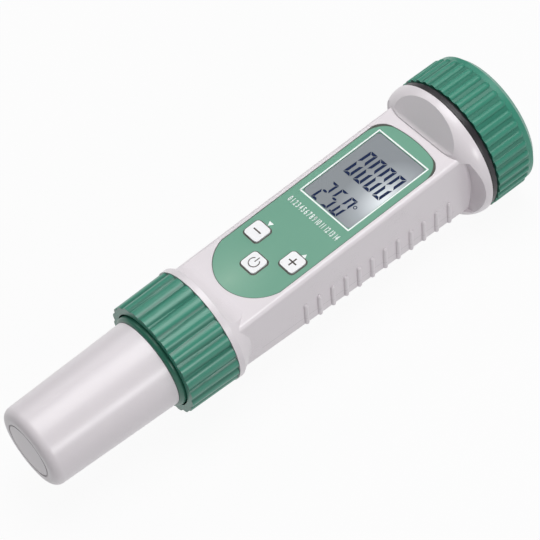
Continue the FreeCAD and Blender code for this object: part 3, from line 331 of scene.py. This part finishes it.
def label_film():
    """Printed green film: a satin face with a fine print grain, lighter at its nose, and painted
    shade of the gap, with some dirt, along its edge.
    """
    material, tree, shader = new_material("label_film")
    surface = from_group(tree, MOULDED, {
        "Colour": srgb(106, 161, 138), "Tone": 0.03, "Roughness": 0.32,
        "Grain Scale": 6000.0, "Grain Depth": 0.004 * MM, "Wave Depth": 0.02 * MM})
    paleness = 0.55
    nose = glow(own_place(tree), (-13.0952 * MM, 1.0 * MM), (42, 60), "QUADRATIC_SPHERE")
    face = mixed(calc("MULTIPLY", nose, paleness), surface["Colour"], srgb(150, 190, 168))
    # Painted shade of the gap around the label, with some dirt, darkens its edge
    rim = from_group(tree, LABEL_GAP_SHADE)["Mask"]
    feed(shader, {"Base Color": mixed(rim, face, srgb(70, 74, 66)),
                  "Roughness": surface["Roughness"], "Normal": surface["Normal"]})
    return material


def display_face(name, coat):
    """The lit display: grey film with painted light in its colour, brightest where the lamp behind
    it stands.
    """
    material, tree, shader = new_material(name)
    place = own_place(tree)
    # Painted light: the colour lightens towards the lamp's spot
    lamp = glow(place, (40.5 * MM, -11.0 * MM), (58, 72), "SPHERICAL")
    ramp = add_node(tree, "ShaderNodeValToRGB", {"Fac": lamp})
    steps = ramp.color_ramp.elements
    steps[0].position, steps[0].color = 0.0, srgb(134, 140, 145)
    steps[1].position, steps[1].color = 0.95, srgb(240, 246, 250)
    steps.new(0.42).color = srgb(166, 172, 178)
    feed(shader, {"Base Color": ramp.outputs["Color"], "Roughness": 0.35, "Coat Weight": coat,
                  "Normal": bump(noise(place, 9000.0), 0.003 * MM, 0.2)})
    return material


def clear(name, alpha):
    """Thin clear glass that lets the lamps through to what lies behind it."""
    material, tree, shader = new_material(name)
    haze = noise(own_place(tree), 300.0)
    feed(shader, {"Alpha": spread_over(haze, alpha * 0.85, alpha * 1.15),
                  "Base Color": (0.95, 0.97, 1.0, 1), "Roughness": 0.03})
    return material


def board_lacquer():
    """Green lacquered circuit board with paler copper tracks under the lacquer."""
    material, tree, shader = new_material("board_lacquer")
    tracks = add_node(tree, "ShaderNodeTexBrick", {
        "Vector": own_place(tree), "Color1": srgb(20, 98, 60), "Color2": srgb(14, 82, 50),
        "Mortar": srgb(60, 150, 96), "Scale": 260.0, "Mortar Size": 0.03}, offset=0.5)
    feed(shader, {"Base Color": tracks.outputs["Color"], "Roughness": 0.3,
                  "Normal": bump(tracks.outputs["Fac"], 0.03 * MM, 0.3)})
    return material


GREEN = srgb(58, 138, 116)
# Painted shade for the grooves' floors
GROOVE_SHADE_GREEN = srgb(28, 88, 74)
WHITE = srgb(226, 220, 224)
WHITE_LOOK = {"tone": 0.02, "grain_scale": 5000.0, "grain_depth": 0.004, "wave_depth": 0.03}
GREEN_LOOK = {"tone": 0.1, "roughness": 0.33, "grain_scale": 4500.0, "grain_depth": 0.008}
# Painted shade: the darker colours given with the grooves below stand for the shade on their
# floors
cap_plastic = moulded("cap_plastic", WHITE, roughness=0.31, **WHITE_LOOK, shaded_grooves={
    "shape": END_RING, "strength": 0.7, "colour": srgb(120, 114, 118)})
cover_plastic = moulded("cover_plastic", WHITE, **WHITE_LOOK, seam=COVER_SEAM)
shell_plastic = moulded("shell_plastic", WHITE, **WHITE_LOOK, seam=COVER_SEAM, threads=True)
collar_plastic = moulded("collar_plastic", GREEN, **GREEN_LOOK, shaded_grooves={
    "shape": COLLAR_FLUTES, "strength": 0.65, "colour": GROOVE_SHADE_GREEN})
cap_green_plastic = moulded("cap_green_plastic", GREEN, **GREEN_LOOK, shaded_grooves={
    "shape": CAP_FLUTES, "strength": 0.4, "colour": GROOVE_SHADE_GREEN})
# Painted shade: the probe base shows as the seat ring between the protective cap and the collar,
# and its darker green stands for the shade there
base_plastic_painted_shade = moulded("base_plastic_painted_shade", srgb(36, 106, 86), **GREEN_LOOK)
probe_plastic = moulded("probe_plastic", srgb(58, 62, 66), tone=0.06, roughness=0.42,
                        grain_depth=0.012)
potting = moulded("potting_resin", srgb(34, 36, 40), tone=0.1, roughness=0.2, wave_depth=0.15)
black_plastic = moulded("black_plastic", srgb(28, 28, 30), tone=0.1, roughness=0.45)
seal_rubber = moulded("seal_rubber", srgb(38, 35, 39), tone=0.12, roughness=0.38,
                      grain_scale=2500.0, grain_depth=0.02)
strip_rubber = moulded("strip_rubber", srgb(96, 96, 100), tone=0.1, roughness=0.6,
                       grain_scale=1800.0, grain_depth=0.03)
key_plastic = moulded("key_plastic", srgb(244, 244, 246), tone=0.02, roughness=0.35,
                      grain_depth=0.004)
junction_ceramic = moulded("junction_ceramic", srgb(232, 228, 216), tone=0.1, roughness=0.75,
                           grain_scale=3000.0, grain_depth=0.05)
backlight_plastic = moulded("backlight_plastic", srgb(240, 242, 244), tone=0.03, roughness=0.4)
ribbon_film = moulded("ribbon_film", srgb(168, 162, 150), tone=0.08, roughness=0.4)
foam = moulded("foam", srgb(226, 218, 190), tone=0.2, roughness=0.95, grain_scale=1500.0,
               grain_depth=0.25, wave_depth=0.3)
steel = metal("steel", srgb(190, 190, 192))
pin_metal = metal("pin_metal", srgb(202, 202, 204), 0.18)
nickel = metal("nickel", srgb(206, 204, 200), 0.22, 700.0, (1, 6, 6))
gold = metal("gold_plate", srgb(222, 184, 96), 0.2)
can_metal = metal("can_metal", srgb(200, 202, 206), 0.3)
label_green = label_film()
display_grey = display_face("display_face", coat=0.0)
window_grey = display_face("window_face", coat=0.6)
sensor_glass = clear("sensor_glass", 0.35)
board_green = board_lacquer()
white_ink = moulded("white_ink", srgb(244, 250, 248), tone=0.02, roughness=0.4)
dark_ink = moulded("dark_ink", srgb(74, 66, 62), roughness=0.45)
segment_ink = moulded("segment_ink", srgb(10, 32, 72), tone=0.1, roughness=0.6, shine=0.2)

NODE_MATERIALS = {
    cap_plastic: ["protective_cap"],
    shell_plastic: ["front_shell"],
    cover_plastic: ["rear_cover"],
    collar_plastic: ["collar"],
    cap_green_plastic: ["battery_cap"],
    base_plastic_painted_shade: ["probe_base"],
    probe_plastic: ["probe_guard"],
    potting: ["probe_core"],
    black_plastic: ["contact_carrier", "probe_socket", "display_frame", "key_switches",
                    "main_chip", "battery_holder"],
    seal_rubber: ["cap_seal", "plug_seal", "rubber_ring"],
    strip_rubber: ["contact_strips"],
    key_plastic: ["key_power", "key_left", "key_right"],
    junction_ceramic: ["reference_junction"],
    backlight_plastic: ["display_backlight"],
    ribbon_film: ["probe_ribbon"],
    foam: ["cap_sponge"],
    steel: ["board_screws", "battery_spring", "contact_spring", "contact_disc",
            "positive_strip"],
    pin_metal: ["conductivity_pins", "temperature_tube"],
    nickel: ["battery_cell_1", "battery_cell_2", "battery_cell_3", "battery_cell_4"],
    gold: ["contact_pins"],
    can_metal: ["capacitors"],
    label_green: ["label"],
    display_grey: ["display_glass"],
    window_grey: ["display_window"],
    sensor_glass: ["ph_bulb"],
    board_green: ["main_board", "probe_board"],
}
for material, names in NODE_MATERIALS.items():
    for name in names:
        NODES[name].data.materials.clear()
        NODES[name].data.materials.append(material)


# Modelling helpers

def turned(degrees, axis="Z"):
    return Matrix.Rotation(math.radians(degrees), 4, axis)


def moved(x, y, z):
    return Matrix.Translation((x, y, z))


FACE = Matrix.Translation(FACE_START) @ Matrix.Rotation(-FACE_SLOPE, 4, "Y")
# Printed marks are read from the near side: their tops point to the battery cap
READING = turned(-90)


def on_face(x, y, depth, turn=None):
    """A place on the sloped front face, in millimetres from its start, and a depth in metres."""
    return FACE @ moved(x * MM, y * MM, -depth) @ (turn or Matrix.Identity(4))


def deselect_all():
    if bpy.context.object and bpy.context.object.mode != "OBJECT":
        bpy.ops.object.mode_set(mode="OBJECT")
    bpy.ops.object.select_all(action="DESELECT")


def make_active(piece):
    deselect_all()
    piece.select_set(True)
    bpy.context.view_layer.objects.active = piece


def start_editing():
    """Edit mode with the whole mesh of the active piece selected."""
    bpy.ops.object.mode_set(mode="EDIT")
    bpy.ops.mesh.select_all(action="SELECT")


def stop_editing():
    bpy.ops.object.mode_set(mode="OBJECT")


def edit_vertices(piece, wanted):
    """Edit mode with only those vertices selected that pass a test of their place."""
    bpy.ops.object.mode_set(mode="EDIT")
    bpy.ops.mesh.select_mode(type="VERT")
    bpy.ops.mesh.select_all(action="DESELECT")
    bpy.ops.object.mode_set(mode="OBJECT")
    for vertex in piece.data.vertices:
        vertex.select = wanted(vertex.co)
    for edge in piece.data.edges:
        edge.select = all(piece.data.vertices[v].select for v in edge.vertices)
    bpy.ops.object.mode_set(mode="EDIT")


def transform_mesh(piece, matrix):
    """Puts the piece's place in its mesh, with the object left at the origin."""
    make_active(piece)
    piece.matrix_world = matrix @ piece.matrix_world
    bpy.ops.object.transform_apply(location=True, rotation=True, scale=True)


def copy_of(piece, matrix):
    """A copy with its own mesh, moved by a matrix."""
    copy = piece.copy()
    copy.data = piece.data.copy()
    bpy.context.scene.collection.objects.link(copy)
    transform_mesh(copy, matrix)
    return copy


def join(pieces):
    make_active(pieces[0])
    for piece in pieces:
        piece.select_set(True)
    bpy.ops.object.join()
    return bpy.context.object


def finished(piece, name, material, body):
    piece.name = name
    piece.data.name = name
    piece.data.materials.clear()
    piece.data.materials.append(material)
    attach(piece, body)


def printed(piece, name, place, material, body):
    """Gives a flat mark in the XY plane the height of ink and puts it in place."""
    make_active(piece)
    start_editing()
    bpy.ops.mesh.extrude_region_move(TRANSFORM_OT_translate={"value": (0, 0, INK_HEIGHT)})
    bpy.ops.mesh.select_all(action="SELECT")
    bpy.ops.mesh.normals_make_consistent(inside=False)
    stop_editing()
    transform_mesh(piece, place)
    finished(piece, name, material, body)


# Flat shapes in the XY plane, measured in millimetres

def rectangle(length, width):
    deselect_all()
    bpy.ops.mesh.primitive_plane_add(size=1)
    piece = bpy.context.object
    piece.scale = (length * MM, width * MM, 1)
    bpy.ops.object.transform_apply(location=True, rotation=True, scale=True)
    return piece


def regular(corners, radius):
    """A flat shape with equal sides, its first corner towards +Y."""
    deselect_all()
    bpy.ops.mesh.primitive_circle_add(vertices=corners, radius=radius * MM, fill_type="NGON")
    return bpy.context.object


def flat_bar(length, width, point):
    """A bar along X whose two ends taper to points."""
    point_width, tiny = 0.08, 1e-7
    bar = rectangle(length - 2 * point, width)
    for side in (1, -1):
        reach = max(side * vertex.co.x for vertex in bar.data.vertices)
        edit_vertices(bar, lambda place: abs(side * place.x - reach) < tiny)
        bpy.ops.mesh.extrude_region_move(
            TRANSFORM_OT_translate={"value": (side * point * MM, 0, 0)})
        bpy.ops.transform.resize(value=(1, point_width, 1))
        stop_editing()
    return bar


def mitred_bar(length, width):
    """A bar along X whose edge at -Y is shorter, with a mitre at both ends."""
    bar = rectangle(length, width)
    for vertex in bar.data.vertices:
        if vertex.co.y < 0:
            vertex.co.x *= 1 - 2 * width / length
    return bar


def ring_arc(radius, width, start, turn, steps=48):
    """An arc of a ring about the origin, with its angles in degrees."""
    arc = rectangle(1, 1)
    edit_vertices(arc, lambda place: place.x > 0)
    bpy.ops.mesh.delete(type="VERT")
    stop_editing()
    begin = math.radians(start)
    for vertex, reach in zip(arc.data.vertices, (radius - width / 2, radius + width / 2)):
        vertex.co = (reach * MM * math.cos(begin), reach * MM * math.sin(begin), 0)
    start_editing()
    bpy.ops.mesh.spin(steps=steps, angle=math.radians(turn), center=(0, 0, 0), axis=(0, 0, 1))
    bpy.ops.mesh.select_all(action="SELECT")
    bpy.ops.mesh.remove_doubles(threshold=0.001 * MM)
    stop_editing()
    return arc


def frame_line(length, width, corner, line):
    """A line around a rectangle with round corners, inside its outline."""
    outline = rectangle(length, width)
    start_editing()
    bpy.ops.mesh.bevel(offset=corner * MM, segments=8, affect="VERTICES")
    bpy.ops.mesh.select_all(action="SELECT")
    bpy.ops.mesh.inset(thickness=line * MM, depth=0)
    bpy.ops.mesh.delete(type="FACE")
    stop_editing()
    return outline


# The wet sponge at the bottom of the protective cap

SPONGE_RADIUS, SPONGE_THICKNESS, SPONGE_ROUND = 11.7 * MM, 4.1 * MM, 0.9 * MM
SPONGE_MIDDLE = 4.27 * MM - HALF_LENGTH

deselect_all()
bpy.ops.mesh.primitive_cylinder_add(vertices=72, radius=SPONGE_RADIUS, depth=SPONGE_THICKNESS)
sponge = bpy.context.object
start_editing()
bpy.ops.mesh.bevel(offset=SPONGE_ROUND, segments=5, affect="EDGES", clamp_overlap=True)
stop_editing()
bpy.ops.object.shade_smooth()
transform_mesh(sponge, moved(SPONGE_MIDDLE, 0, AXIS_HEIGHT) @ turned(90, "Y"))
finished(sponge, "soft_sponge", foam, "protective_cap")
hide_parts("cap_sponge")


# Printed marks on the label. Places are in millimetres from the front face's start

def on_label(piece, name, x, y, ink, turn=None):
    printed(piece, name, on_face(x, y, LABEL_DEPTH, turn), ink, "housing")


on_label(frame_line(33.4, 23.4, corner=0.25, line=0.5), "window_border", 66.5, 0, white_ink)

KEYS = {"key_power": (21.7, 0.0), "key_left": (30.1, 8.55), "key_right": (30.1, -8.55)}
for key, (x, y) in KEYS.items():
    on_label(frame_line(7.4, 7.4, corner=1.6, line=0.36), f"{key}_outline", x, y, dark_ink)

on_label(regular(3, 1.15), "left_mark", 34.9, 8.0, white_ink, READING @ turned(180))
on_label(regular(3, 1.15), "right_mark", 34.1, -9.2, white_ink, READING)

SCALE_WIDTH_SHARE = 0.53
bpy.ops.object.text_add()
scale_text = bpy.context.object
scale_text.data.body = "0 1 2 3 4 5 6 7 8 9 10 11 12 13 14"
scale_text.data.size = 3.15 * MM
scale_text.data.offset = 0.07 * MM
scale_text.data.align_x = "CENTER"
scale_text.data.align_y = "CENTER"
make_active(scale_text)
bpy.ops.object.convert(target="MESH")
scale_numbers = bpy.context.object
transform_mesh(scale_numbers, Matrix.Diagonal((SCALE_WIDTH_SHARE, 1, 1, 1)))
on_label(scale_numbers, "scale_numbers", 45.6, 0, white_ink, READING)


# Signs on the keys

def on_key(piece, name, key):
    printed(piece, name, on_face(*KEYS[key], KEY_TOP, READING), dark_ink, key)


def sign_bar():
    return flat_bar(3.4, 0.5, point=0.1)


power_ring = ring_arc(1.75, 0.34, start=55, turn=290)
power_bar = flat_bar(2.1, 0.34, point=0.05)
transform_mesh(power_bar, moved(0, 1.3 * MM, 0) @ turned(90))
on_key(join([power_ring, power_bar]), "power_icon", "key_power")
on_key(sign_bar(), "minus_icon", "key_left")
plus_bar = sign_bar()
on_key(join([plus_bar, copy_of(plus_bar, turned(90))]), "plus_icon", "key_right")


# Numbers on the display

SEGMENTS = {"0": "abcdef", "2": "abged", "5": "afgcd"}


def digit(sign, width, height, stroke, lean):
    """One seven-bar number that leans right, centred on the origin, its top along +Y."""
    gap = stroke * 0.3
    level_bar = mitred_bar(width - gap, stroke)
    upright_bar = mitred_bar(height / 2 - gap, stroke)
    middle_bar = flat_bar(width - stroke - gap, stroke, stroke / 2)
    side, level = (width - stroke) / 2, (height - stroke) / 2
    places = {
        "a": (level_bar, 0, 0, level),
        "b": (upright_bar, -90, side, height / 4),
        "c": (upright_bar, -90, side, -height / 4),
        "d": (level_bar, 180, 0, -level),
        "e": (upright_bar, 90, -side, -height / 4),
        "f": (upright_bar, 90, -side, height / 4),
        "g": (middle_bar, 0, 0, 0),
    }
    shear = Matrix.Identity(4)
    shear[0][1] = lean
    bars = []
    for letter in SEGMENTS[sign]:
        bar, turn, x, y = places[letter]
        copy = copy_of(bar, moved(x * MM, y * MM, 0) @ turned(turn))
        copy.data.transform(shear)
        bars.append(copy)
    for bar in (level_bar, upright_bar, middle_bar):
        bpy.data.objects.remove(bar)
    return join(bars)


def on_display(piece, name, x, y, turn=None):
    printed(piece, name, on_face(x, y, WINDOW_DEPTH, turn), segment_ink, "housing")


def reading(name, text, x, first, pitch, **sizes):
    """A row of numbers at a place along X, from a place along Y towards the near side."""
    for index, sign in enumerate(text):
        on_display(digit(sign, **sizes), f"{name}_{index + 1}", x, first - pitch * index, READING)


reading("large_digit", "0000", x=69.9, first=5.6, pitch=4.55,
        width=3.3, height=11.4, stroke=1.02, lean=0.05)
reading("small_digit", "250", x=55.1, first=5.55, pitch=4.5,
        width=2.85, height=8.8, stroke=0.82, lean=0.09)
on_display(regular(16, 0.36), "decimal_point", 51.2, -1.3)
on_display(ring_arc(0.55, 0.28, start=0, turn=360, steps=24), "degree_mark", 57.4, -6.2)


# Floor and light

FLOOR_SIZE = 6
PAPER_COLOUR = (0.62, 0.62, 0.63, 1)
PAPER_WHITENESS = 0.94
SKY_ON_PIECES = 0.24


def floor_material():
    """Paper that the camera sees as nearly white, while it throws less light at the tester."""
    material, tree, shader = new_material("floor_paper")
    feed(shader, {"Base Color": PAPER_COLOUR, "Roughness": 0.9})
    rays = tree.nodes.new("ShaderNodeLightPath").outputs
    white = add_node(tree, "ShaderNodeEmission", {"Color": (1, 1, 1, 1), "Strength": 1.0})
    direct = calc("MAXIMUM", rays["Is Camera Ray"],
                  calc("MAXIMUM", rays["Is Glossy Ray"], rays["Is Transmission Ray"]))
    both = add_node(tree, "ShaderNodeMixShader", {
        "Fac": calc("MULTIPLY", direct, PAPER_WHITENESS),
        1: shader.outputs[0], 2: white.outputs[0]})
    feed(tree.nodes["Material Output"], {"Surface": both.outputs[0]})
    return material


deselect_all()
bpy.ops.mesh.primitive_plane_add(size=FLOOR_SIZE)
floor = bpy.context.object
floor.name = "floor"
floor.data.materials.append(floor_material())

world = bpy.data.worlds.new("studio")
bpy.context.scene.world = world
world.use_nodes = True
sky_rays = world.node_tree.nodes.new("ShaderNodeLightPath").outputs
seen = calc("MAXIMUM", sky_rays["Is Camera Ray"], sky_rays["Is Transmission Ray"])
feed(world.node_tree.nodes["Background"], {
    "Color": (1, 1, 1, 1),
    "Strength": calc("MULTIPLY_ADD", seen, 1 - SKY_ON_PIECES, SKY_ON_PIECES)})

# Each lamp's place, target, two sizes and watts
LAMPS = {
    "overhead_softbox": ((0.17, 0.02, 0.85), (0.02, 0, 0.03), (0.62, 0.44), 4.8),
    "near_softbox": ((0.10, -0.88, 0.36), (0.02, 0, 0.03), (0.22, 0.16), 2.2),
    "far_strip": ((0.05, 0.62, 0.60), (0.0, 0, 0.03), (0.80, 0.14), 0.9),
}
for name, (place, target, sizes, watts) in LAMPS.items():
    lamp = bpy.data.objects.new(name, bpy.data.lights.new(name, "AREA"))
    lamp.data.shape = "RECTANGLE"
    lamp.data.size, lamp.data.size_y = sizes
    lamp.data.energy = watts
    lamp.location = place
    aim = Vector(target) - Vector(place)
    lamp.rotation_euler = aim.to_track_quat("-Z", "Y").to_euler()
    bpy.context.scene.collection.objects.link(lamp)


# The camera, fitted to the tester's circles and straight edges in the photograph

FOCAL_PIXELS = 2500.0
DISTANCE = 773 * MM
RISE = math.radians(33.98)
SWING = math.radians(18.55)
ROLL = math.radians(36.14)
SHIFT_RIGHT, SHIFT_UP = 1.07 * MM, 2.07 * MM
PICTURE_PIXELS = 540
SENSOR = 36.0

towards = Vector((-math.sin(SWING), -math.cos(SWING) * math.sin(RISE),
                  math.cos(SWING) * math.cos(RISE)))
across = Vector((math.cos(SWING), -math.sin(SWING) * math.sin(RISE),
                 math.sin(SWING) * math.cos(RISE)))
upward = Vector((0, math.cos(RISE), math.sin(RISE)))
right = across * math.cos(ROLL) - upward * math.sin(ROLL)
top = across * math.sin(ROLL) + upward * math.cos(ROLL)
eye = Vector((0, 0, AXIS_HEIGHT)) + towards * DISTANCE + right * SHIFT_RIGHT + top * SHIFT_UP
camera = bpy.data.objects.new("camera", bpy.data.cameras.new("camera"))
camera.data.lens = FOCAL_PIXELS * SENSOR / PICTURE_PIXELS
camera.data.sensor_width = SENSOR
camera.matrix_world = Matrix.Translation(eye) @ Matrix((right, top, towards)).transposed().to_4x4()
bpy.context.scene.collection.objects.link(camera)
bpy.context.scene.camera = camera
bpy.context.scene.view_settings.view_transform = "Standard"
